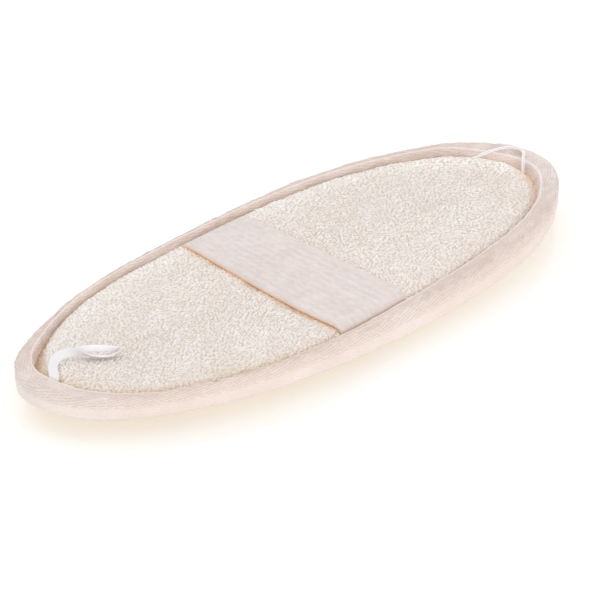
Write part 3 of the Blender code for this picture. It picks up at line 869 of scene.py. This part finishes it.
def build_binding():
    cols = 1640
    arc = arc_stations(cols)
    angle = angle_at(arc)
    rise = rim_rise(angle)
    face, turn_row = binding_profile(angle)
    row = np.arange(len(face))
    across = np.concatenate([np.zeros((1, cols)), np.cumsum(
        np.linalg.norm(np.diff(face, axis=0), axis=2), axis=0)])
    along = np.broadcast_to(arc, face.shape[:2])
    normals = -grid_normals(face, True)
    ends = (left_end(angle) + right_end(angle))[None, :]

    loose = (0.18 * value_noise(along, across * 1.2, scale=11.0, seed=21)
             + 0.11 * value_noise(along, across, scale=5.0, seed=22))
    # gathers where the tape is eased round the tight ends
    gather = (0.30 * ends * smooth(6.5, 11.0, across)
              * value_noise(along * 0.45, across, scale=2.3, seed=23))
    rib = twill(
        along + 0.5 * value_noise(along, across, scale=3.7, seed=28),
        across + 0.32 * value_noise(along, across, scale=7.0, seed=24)
        + 0.16 * value_noise(along, across, scale=2.3, seed=29)
        + 0.9 * ends * value_noise(along, across * 0.3, scale=14.0, seed=25))
    # small puckers that the stitching draws into the fold
    pucker = (value_noise(along * 0.55, across * 1.35, scale=1.9, seed=30)
              * smooth(7.5, 10.0, across))
    rib = np.clip(rib + 0.22 * pucker, 0, 1)
    # the lower half of the outer face lies smooth and is lifted lighter, painted bounce light
    # from the floor; the fold shows its weave
    calm = smooth(6.5, 4.0, across)
    rib = rib * (1 - 0.55 * calm) + 0.85 * 0.55 * calm
    # a slightly raised ridge along the fold's inner edge, painted to full crest colour as a
    # highlight
    ridge = bell(row - turn_row - 1.5, 2.1)[:, None]
    rib = np.maximum(rib, ridge)
    dent = (-0.20 * bell(face[..., 2] - (SEAM_Z + rise), 0.5)
            * (0.75 + 0.25 * np.cos(2 * np.pi * along / STITCH)))
    # the fine relief dies out over the last two rows at both raw edges
    away_from_edge = np.minimum(1, np.minimum(row, len(face) - 1 - row) / 2.0)[:, None]
    fine = ((0.18 + 0.1 * ends) * (rib - 0.5) + dent + 0.22 * ridge) * away_from_edge
    outside = face + normals * (loose + gather + 0.13 * pucker + fine)[..., None]

    # the hidden inside of the fold, one tape thickness in
    inside = (face - normals * 0.75)[::-1]
    inside = np.concatenate([inside[:-1:4], inside[-1:]])
    hidden = len(inside)

    def with_inside(values, inside_value):
        return np.concatenate([values, np.full((hidden, cols), inside_value)])

    points = np.concatenate([outside, inside])
    uv = np.stack([along, across], -1)
    uv = np.concatenate([uv, uv[:hidden]])
    # 1 where the tape is left clear of the painted shade: the lower outer face and the inner
    # ridge
    clear_of_fold_shade = np.maximum(smooth(9.6, 7.6, across), ridge)
    # painted light: the glow runs down the rim's inner face, towards the gutter
    gutter_glow = (smooth(1.8, 5.2, RIM_TOP + rise[None, :] - face[..., 2])
            * (row > turn_row - 8)[:, None])
    # painted light, strongest at the right tip and a little less at the left
    painted_light = np.broadcast_to(0.65 * left_end(angle) + right_end(angle), points.shape[:2])
    attrs = {"rib": with_inside(rib, 0.4), "clear_of_fold_shade": with_inside(clear_of_fold_shade, 0.0),
             "crease_glow": with_inside(gutter_glow, 0.0), "painted_light": painted_light}
    return build("twill_binding", points, quads(len(points), cols, True, True),
                 uv=uv, attrs=attrs)


def build_thread(name, inner):
    """One thread of the lockstitch as a run of short raised stitches."""
    points_per_stitch, sides = 10, 8
    stitches = int(round(PERIMETER / STITCH))
    arc = arc_stations(stitches * points_per_stitch)
    angle = angle_at(arc)
    wave = np.abs(np.sin(np.pi * arc / PERIMETER * stitches))
    below_top = RIM_TOP - SEAM_Z
    lift = 0.10 - 0.46 * (1 - wave ** 0.5)
    if inner:
        depth = rim_thickness(angle) + 0.25 * below_top / RIM_HEIGHT + lift
    else:
        depth = rim_lean(angle) * below_top / RIM_HEIGHT - lift
    centre = rim_points(angle, depth, SEAM_Z + rim_rise(angle))
    out_x, out_y = outward(angle)
    out = np.stack([out_x, out_y, 0 * out_x], -1)
    up = np.array([0, 0, 1.0])
    turns = [2 * np.pi * k / sides for k in range(sides)]
    points = np.stack([centre + out * THREAD_RADIUS * math.cos(turn)
                       + up * THREAD_RADIUS * math.sin(turn) for turn in turns])
    round_thread = np.arange(sides)[:, None] * 0.16
    uv = np.stack(np.broadcast_arrays(arc, round_thread), -1)
    return build(name, points, quads(sides, len(arc), True, True, flip=True), uv=uv)


# ------------------------------------------------------------------ loofah sole
def strand_field(x, y):
    """A tangle of loofah strands: several layers of wandering parallel fibres."""
    height = np.zeros_like(x)
    for direction, pitch, radius, tall, seed in STRAND_LAYERS:
        cosine, sine = math.cos(direction), math.sin(direction)
        along, across = x * cosine + y * sine, -x * sine + y * cosine
        across = (across + 2.6 * value_noise(along, across, scale=21.0, seed=seed)
                  + 0.9 * value_noise(along, across, scale=6.5, seed=seed + 50))
        strand = np.floor(across / pitch)
        rng = np.random.default_rng(seed)
        offset = rng.uniform(-0.32, 0.32, 512)[strand.astype(int) % 512]
        away = (across - (strand + 0.5 + offset) * pitch) / radius
        over = 0.70 + 0.30 * value_noise(along + 40 * seed, across, scale=5.5, seed=seed + 90)
        height = np.maximum(height, np.sqrt(np.maximum(0, 1 - away * away)) * tall * over)
    return np.clip(height, 0, 1)


def build_sole():
    cols = 1100
    edge_z, edge_depth, flat_depth, rim_band = 8.6, 1.0, 30.0, 12.0
    angle = angle_at(arc_stations(cols))
    rise, lean = rim_rise(angle), rim_lean(angle)

    def sole_z(depth):
        x = np.clip((depth - edge_depth) / (flat_depth - edge_depth), 0, 1)
        return edge_z * (1 - x) ** 2.2

    rows = [rim_points(angle, 1.15 + lean, edge_z + height + rise * 0.9)
            for height in (4.5, 3.0, 1.5, 0.0)]
    for depth in np.arange(1.6, rim_band, 0.55):
        rim_follow = rise * 0.9 * float(smooth(14, 1, depth))
        rows.append(rim_points(angle, depth + lean, sole_z(depth) + rim_follow))
    half_width, rings = rings_to_spine(rows[-1], step=0.6)
    for f, xy in rings:
        z = float(sole_z(rim_band + half_width * (1 - f)))
        rows.append(np.concatenate([xy, np.full((cols, 1), z)], 1))
    points = np.stack(rows)
    strand = strand_field(points[..., 0], points[..., 1] + 0.6 * points[..., 2])
    normals = grid_normals(points, True)
    row = np.arange(len(rows))[:, None, None]
    points = points + np.array([0, 0, 0.75]) * smooth(0.0, 1.0, row / 6.0)
    relief = normals * (1.25 * (strand - 0.42))[..., None]
    points = points + relief * np.minimum(1, row / 5.0)
    # no strand reaches through the floor
    points[..., 2] = np.maximum(points[..., 2], 0.02)
    return build("loofah_sole", points, quads(len(rows), cols, True, flip=True),
                 attrs={"strand": strand})


# ------------------------------------------------------------------ sponge core
def build_foam():
    """The sponge, seen only if the cover is opened."""
    angle = angle_at(arc_stations(360))
    edge = rim_thickness(angle) + gutter_width(angle) + 1.9
    wall = [rim_points(angle, edge + depth, z) for depth, z in FOAM_PROFILE]
    # bottom rings: (size, z)
    bottom = [wall[0] * [k, k, 1] for k in (0.2, 0.5, 0.8)]
    for ring, z in zip(bottom, (6.0, 6.2, 6.8)):
        ring[:, 2] = z
    top = [wall[-1] * [k, k, 1] for k in (0.8, 0.5, 0.2)]
    return build_closed("sponge_core", np.stack(bottom + wall + top), flip=True)


# ------------------------------------------------------------------ strap
def strap_surface(side, xs):
    """Centre surface of one half, in rows from its sewn end to the middle of the pad."""
    blend_x = (xs - STRAP_LOW[0]) / (STRAP_HIGH[0] - STRAP_LOW[0])

    def shifted(y):
        return xs + strap_shift(y, -1) * (1 - blend_x) + strap_shift(y, 1) * blend_x

    sewn_y = rim_inner_y(shifted(side * STRAP_REACH), side) - side * 0.75
    follow = rim_rise(np.arctan2(sewn_y / HALF_WIDTH, xs / HALF_LENGTH)) * 0.5
    top_z = STRAP_HIGH[2] - 0.50
    bend_in, bend_height = np.array(STRAP_BEND[side]).T
    bend_arc = path_length(bend_in, bend_height)
    rows = []
    for arc in np.arange(0, bend_arc[-1], 0.4):
        inward = np.interp(arc, bend_arc, bend_in)
        z = top_z + np.interp(arc, bend_arc, bend_height)
        y = sewn_y - side * inward
        rim_follow = follow * float(smooth(6, 0, inward))
        rows.append(np.stack([shifted(y), y, z + rim_follow], -1))
    flat_rows = 110
    for k in range(1, flat_rows + 1):
        f = k / flat_rows
        y = (sewn_y - side * inward) * (1 - f)
        rows.append(np.stack([shifted(y), y, top_z + rim_follow * (1 - f)], -1))
    return np.stack(rows)


def build_strap_half(name, side):
    """The near (-1) or far (+1) half of the strap."""
    across = 150
    rib_pitch, cord_pitch, pick_pitch = 1.17, 3.24, 0.8
    xs = np.linspace(STRAP_LOW[0], STRAP_HIGH[0], across)
    width = STRAP_HIGH[0] - STRAP_LOW[0]
    surface = strap_surface(side, xs)
    steps = np.linalg.norm(np.diff(surface[:, across // 2], axis=0), axis=1)
    from_end = np.concatenate([[0], np.cumsum(steps)])[:, None] + 0 * surface[..., 0]
    from_middle = from_end[-1:] - from_end
    x = np.broadcast_to(xs - STRAP_LOW[0], surface.shape[:2])
    normals = side * grid_normals(surface, False)

    # woven ribs along the length, firmer selvage at both edges
    rib = 0.5 + 0.5 * np.cos(2 * np.pi * x / rib_pitch)
    cord = 0.5 + 0.5 * np.cos(2 * np.pi * x / cord_pitch)
    pick = 0.5 + 0.5 * np.cos(2 * np.pi * from_middle / pick_pitch
                              + np.pi * np.floor(x / rib_pitch))
    edge = np.minimum(x, width - x)
    selvage = smooth(1.3, 0.4, edge)
    rounding = smooth(0.5, 0.0, edge)
    signed = from_middle * side
    relief = (0.06 * (rib - 0.5) + 0.07 * (cord - 0.5) + 0.03 * (pick - 0.5)
              + 0.10 * selvage - 0.30 * rounding
              + 0.035 * value_noise(x, signed + 90, scale=2.1, seed=62))
    sag = 0.10 * value_noise(x, from_middle * 0.6 * side + 60, scale=14.0, seed=61)
    top = surface + normals * (relief + sag)[..., None]
    bottom = surface - normals * STRAP_THICKNESS + normals * (sag + 0.28 * rounding)[..., None]

    # brightness of the weave, with painted shade duller to the left edge, and at the near sewn
    # end where the strap turns down, and a painted highlight along the right selvage
    look = (0.16 + 0.28 * rib + 0.18 * cord + 0.18 * pick
            + 0.26 * value_noise(x * 1.6, signed + 50, scale=1.7, seed=63)
            + 0.12 * value_noise(x, signed + 20, scale=5.0, seed=64)
            + 0.3 * selvage * (x > width / 2) - 0.5 * smooth(1.6, 0.2, x))
    inward = from_middle.max() - from_middle
    if side < 0:
        look = look - 0.6 * smooth(10.0, 1.5, inward)
    # where the painted orange shade and glow go: both edges, the whole underside, and the last
    # few mm by each sewn end
    under = np.maximum(smooth(0.45, 0.0, edge), 0.7 * smooth(5.2, 3.6, inward))

    def both_faces(top_values, bottom_values):
        """Across the top and back along the bottom."""
        return np.concatenate([top_values, bottom_values[:, ::-1]], axis=1)

    points = both_faces(top, bottom)
    uv = np.stack([x, from_middle], -1)
    rows, cols = points.shape[:2]
    # cap the sewn end; the two halves meet open at the middle
    cap = end_cap(cols)
    faces = np.concatenate([quads(rows, cols, True, flip=side > 0),
                            cap if side > 0 else cap[:, ::-1]])
    return build(name, points, faces, uv=both_faces(uv, uv),
                 attrs={"rib": np.clip(both_faces(look, look), 0, 1),
                        "under": both_faces(under, np.ones_like(edge))})


# ------------------------------------------------------------------ hanging loops
def catmull(points, count):
    """A smooth curve through the points."""
    knots = [np.array(point, float) for point in points]
    knots = [2 * knots[0] - knots[1]] + knots + [2 * knots[-1] - knots[-2]]
    spans = len(points) - 1
    curve = []
    for position in np.linspace(0, spans, count):
        i = min(int(position), spans - 1)
        f = position - i
        before, start, end, after = knots[i:i + 4]
        curve.append(0.5 * (2 * start + (end - before) * f
                            + (2 * before - 5 * start + 4 * end - after) * f * f
                            + (3 * start - before - 3 * end + after) * f ** 3))
    return np.array(curve)


def unit(vectors):
    return vectors / np.linalg.norm(vectors, axis=-1, keepdims=True)


def tangents_of(path):
    return unit(np.gradient(path, axis=0))


def square_to(vectors, tangents):
    """Unit vectors with the part along the tangents taken out."""
    return unit(vectors - (vectors * tangents).sum(1, keepdims=True) * tangents)


def tilted_widths(centre, position, rim_axis, tilt):
    """Width direction along a ribbon: level, turned by the tilt at each path point."""
    tangents = tangents_of(centre)
    stations = [0.0] * len(RIBBON_TAIL) + list(tilt)
    turn = np.interp(position, np.arange(len(stations)), stations)
    rim_width = np.array([*rim_axis, 0.0])
    widths = []
    last = rim_width
    for k, tangent in enumerate(tangents):
        level = np.cross([0, 0, 1.0], tangent)
        length = np.linalg.norm(level)
        level = level / length if length > 1e-3 else last
        if level @ last < 0:
            level = -level
        # the width leaves the seam along the rim, then settles level
        settle = float(smooth(2.2, 4.2, position[k]))
        flat = rim_width * (1 - settle) + level * settle
        flat = unit(flat - tangent * (flat @ tangent))
        last = flat
        up = np.cross(tangent, flat)
        if up[2] < 0:
            up = -up
        widths.append(flat * math.cos(turn[k]) + up * math.sin(turn[k]))
    return np.array(widths)


def build_loop(name, centre, widths, eye, width, half_thickness=0.24, lit=0.0):
    """A folded ribbon: out along the path on one side, round a tight fold at the
    far end, and back on the other side. eye is the gap left open along the path."""
    tangents = tangents_of(centre)
    widths = square_to(widths, tangents)
    side = np.cross(tangents, widths)
    offset = half_thickness + 0.05 + eye
    opened = (eye / max(0.5, float(eye.max())))[:, None]
    out = centre + side * offset[:, None]
    # where the eye is open the returning side of the ribbon has sunk and rolled over
    back = centre - side * offset[:, None] - np.array([0, 0, 0.55]) * opened
    rolled = widths * np.cos(0.8 * opened) + side * np.sin(0.8 * opened)
    radius = offset[-1]
    fold = np.array([centre[-1] + side[-1] * radius * math.cos(turn)
                     + tangents[-1] * radius * 1.5 * math.sin(turn)
                     for turn in np.linspace(0, np.pi, 9)[1:-1]])
    path = np.concatenate([out, fold, back[::-1]])
    wide = np.concatenate([widths, np.repeat(widths[-1:], len(fold), 0), rolled[::-1]])
    path_tangents = tangents_of(path)
    wide = square_to(wide, path_tangents)
    face_out = np.cross(path_tangents, wide)
    steps = np.linalg.norm(np.diff(path, axis=0), axis=1)
    length = np.concatenate([[0], np.cumsum(steps)])
    open_part = np.concatenate([opened[:, 0], np.full(len(fold), opened[-1, 0]),
                                0.3 * opened[::-1, 0]])
    # cross-section: 13 points across one face (+1) and 13 back across the other (-1)
    face_steps = 12
    profile = [(face * (-1 + 2 * k / face_steps), face)
               for face in (1, -1) for k in range(face_steps + 1)]
    columns, inner = [], []
    for across, face in profile:
        # glow amount: everywhere at lit, and on the returning face where the eye is open
        inner.append(np.maximum(lit, open_part * (face < 0)))
        edge = max(0.0, abs(across) - 0.86) / 0.14
        crown = 1.0 - 0.55 * edge ** 2
        weave = 0.02 * np.cos(2 * np.pi * length / 0.9 + across * 9)
        thickness = face * half_thickness * crown + face * weave * (1 - edge)
        columns.append(path + wide * (across * width / 2) + face_out * thickness[:, None])
    points = np.stack(columns, 1)
    rows, cols = points.shape[:2]
    round_ribbon = np.arange(cols) * width / (face_steps + 1)
    uv = np.stack(np.broadcast_arrays(length[:, None], round_ribbon[None, :]), -1)
    cap = end_cap(cols)
    faces = np.concatenate([quads(rows, cols, True, flip=True), cap,
                            (cap + (rows - 1) * cols)[:, ::-1]])
    return build(name, points, faces, uv=uv, attrs={"inner": np.stack(inner, 1)})


def loop_joint(name):
    """Root of a loop in mm, and the direction of its hinge in plan."""
    joint = next(j for j in frame["joints"] if j["name"] == name)
    return np.array(joint["pos_m"]) / MM, np.array(joint["axis"][:2])


def ribbon_centre(root, path):
    tail = [root + np.array(point) for point in RIBBON_TAIL]
    return catmull(tail + path, RIBBON_STATIONS)


def build_left_loop(root, rim_axis):
    path = [root + np.array(station[:3]) for station in LEFT_PATH]
    centre = ribbon_centre(root, path)
    last = len(RIBBON_TAIL) + len(path) - 1
    position = np.linspace(0, last, RIBBON_STATIONS)
    widths = tilted_widths(centre, position, rim_axis, [station[3] for station in LEFT_PATH])
    # the eye opens over the last 3.1 stations
    eye = 1.2 * np.sin(np.pi * np.clip((position - 6.9) / 3.1, 0, 1)) ** 0.8
    return build_loop("ribbon_loop_left", centre, widths, eye, width=3.7)


def build_right_loop(root):
    centre = ribbon_centre(root, [np.array(point) for point in RIGHT_PATH])
    lie = np.array([0.50, 0.60, -0.62])
    eye = np.full(RIBBON_STATIONS, 0.02)
    # lit=0.7 paints a glow all over this loop
    return build_loop("ribbon_loop_right", centre, lie, eye, width=3.0,
                      half_thickness=0.22, lit=0.7)


# ------------------------------------------------------------------ assemble
def place(piece, material, replaces, blend=None):
    """Give a piece its material and hide the parts it replaces. Without blend it joins the pad's
    part in the frame; blend is (moving part, start, end) in mm, and a piece given one only has
    its transform baked in."""
    piece.data.materials.append(material)
    if blend is None:
        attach(piece, "pad")
    else:
        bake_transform(piece)
    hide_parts(*replaces)


relief = cushion_relief()
place(build_terry(relief), terry_material(), ["terry_cover"])
place(build_binding(), tape_material(), ["edge_binding"])

thread = thread_material()
for name, inner in (("needle_thread", False), ("bobbin_thread", True)):
    place(build_thread(name, inner), thread, ["binding_" + name])

place(build_sole(), loofah_material(), ["loofah_panel"])
place(build_foam(), foam_material(), ["foam_core"])

elastic = strap_material()
strap_x = float((STRAP_LOW[0] + STRAP_HIGH[0]) / 2)
for end_name, side in (("near", -1), ("far", 1)):
    bend_y = float(rim_inner_y(strap_x, side)) - side * 2.0
    place(build_strap_half("hand_strap_" + end_name, side), elastic,
          ["strap_end_" + end_name, "hand_strap"],
          blend=("strap", (strap_x, bend_y, 0.0), (strap_x, 0.0, 0.0)))

ribbon = ribbon_material()
root, rim_axis = loop_joint("loop_left_swing")
inward = np.array([0.68, 0.73, 0.0])
place(build_left_loop(root, rim_axis), ribbon,
      ["hanging_loop_left", "loop_end_left"],
      blend=("loop_left", root + inward * 1.5, root + inward * 4.2))

root, _ = loop_joint("loop_right_swing")
# the arc stays against the rim
inward = np.array([-0.989639, -0.143579, 0.0])
place(build_right_loop(root), ribbon,
      ["hanging_loop_right", "loop_end_right"],
      blend=("loop_right", root + inward * 0.3, root + inward * 5.5))


# ------------------------------------------------------------------ floor, world, lights, camera
def build_floor(half=12.0):
    mesh = bpy.data.meshes.new("floor")
    corners = [(-half, -half, 0), (half, -half, 0), (half, half, 0), (-half, half, 0)]
    mesh.from_pydata(corners, [], [(0, 1, 2, 3)])
    obj = bpy.data.objects.new("floor", mesh)
    bpy.context.scene.collection.objects.link(obj)
    mesh.materials.append(floor_material())


def build_world():
    """White surroundings, a little dimmer as light than as seen by the camera."""
    world = bpy.data.worlds.new("studio")
    bpy.context.scene.world = world
    world.use_nodes = True
    nodes, links = world.node_tree.nodes, world.node_tree.links
    background = nodes["Background"]
    background.inputs["Color"].default_value = (1.0, 1.0, 1.0, 1)
    light_path = nodes.new("ShaderNodeLightPath")
    brightness = nodes.new("ShaderNodeMapRange")
    brightness.inputs["To Min"].default_value = 0.82
    brightness.inputs["To Max"].default_value = 1.0
    links.new(light_path.outputs["Is Camera Ray"], brightness.inputs["Value"])
    links.new(brightness.outputs["Result"], background.inputs["Strength"])


# the camera's directions: it looks towards far right, and down
AZIMUTH, ELEVATION = math.radians(42.23), math.radians(30.40)
VIEW_RIGHT = np.array([math.cos(AZIMUTH), -math.sin(AZIMUTH), 0.0])
VIEW_AHEAD = np.array([math.sin(AZIMUTH), math.cos(AZIMUTH), 0.0])
VIEW = VIEW_AHEAD * math.cos(ELEVATION) - np.array([0, 0, 1.0]) * math.sin(ELEVATION)
VIEW_UP = np.cross(VIEW_RIGHT, VIEW)


def add_area_light(name, ahead, right, height, size, watts):
    """A rectangular light placed in metres along the camera's level directions."""
    position = VIEW_AHEAD * ahead + VIEW_RIGHT * right + np.array([0, 0, height])
    light = bpy.data.lights.new(name, "AREA")
    light.shape = "RECTANGLE"
    light.size, light.size_y = size
    light.energy = watts
    obj = bpy.data.objects.new(name, light)
    obj.location = tuple(position)
    aim = Vector((0, 0, 0.01)) - Vector(tuple(position))
    obj.rotation_euler = aim.to_track_quat("-Z", "Y").to_euler()
    bpy.context.scene.collection.objects.link(obj)


def add_camera():
    distance, aim_right, aim_down = 1821.63188, 0.8918406, 12.5844402   # mm
    scene = bpy.context.scene
    data = bpy.data.cameras.new("camera")
    data.sensor_fit = "HORIZONTAL"
    data.sensor_width = 36.0
    data.lens = 288.0
    data.clip_end = 50.0
    camera = bpy.data.objects.new("camera", data)
    aim = np.array([0, 0, RIM_TOP]) + VIEW_RIGHT * aim_right - VIEW_UP * aim_down
    camera.location = tuple((aim - VIEW * distance) * MM)
    camera.rotation_euler = Vector(VIEW).to_track_quat("-Z", "Y").to_euler()
    scene.collection.objects.link(camera)
    scene.camera = camera
    scene.view_settings.view_transform = "Standard"
    scene.view_settings.look = "None"


build_floor()
build_world()
add_area_light("key", ahead=0.9, right=-1.3, height=1.7, size=(1.6, 1.6), watts=11.5)
add_area_light("side", ahead=-0.1, right=1.7, height=1.1, size=(1.4, 1.0), watts=5.0)
add_area_light("fill", ahead=-1.5, right=0.5, height=0.55, size=(1.8, 0.9), watts=8.0)
add_camera()

bpy.context.view_layer.update()
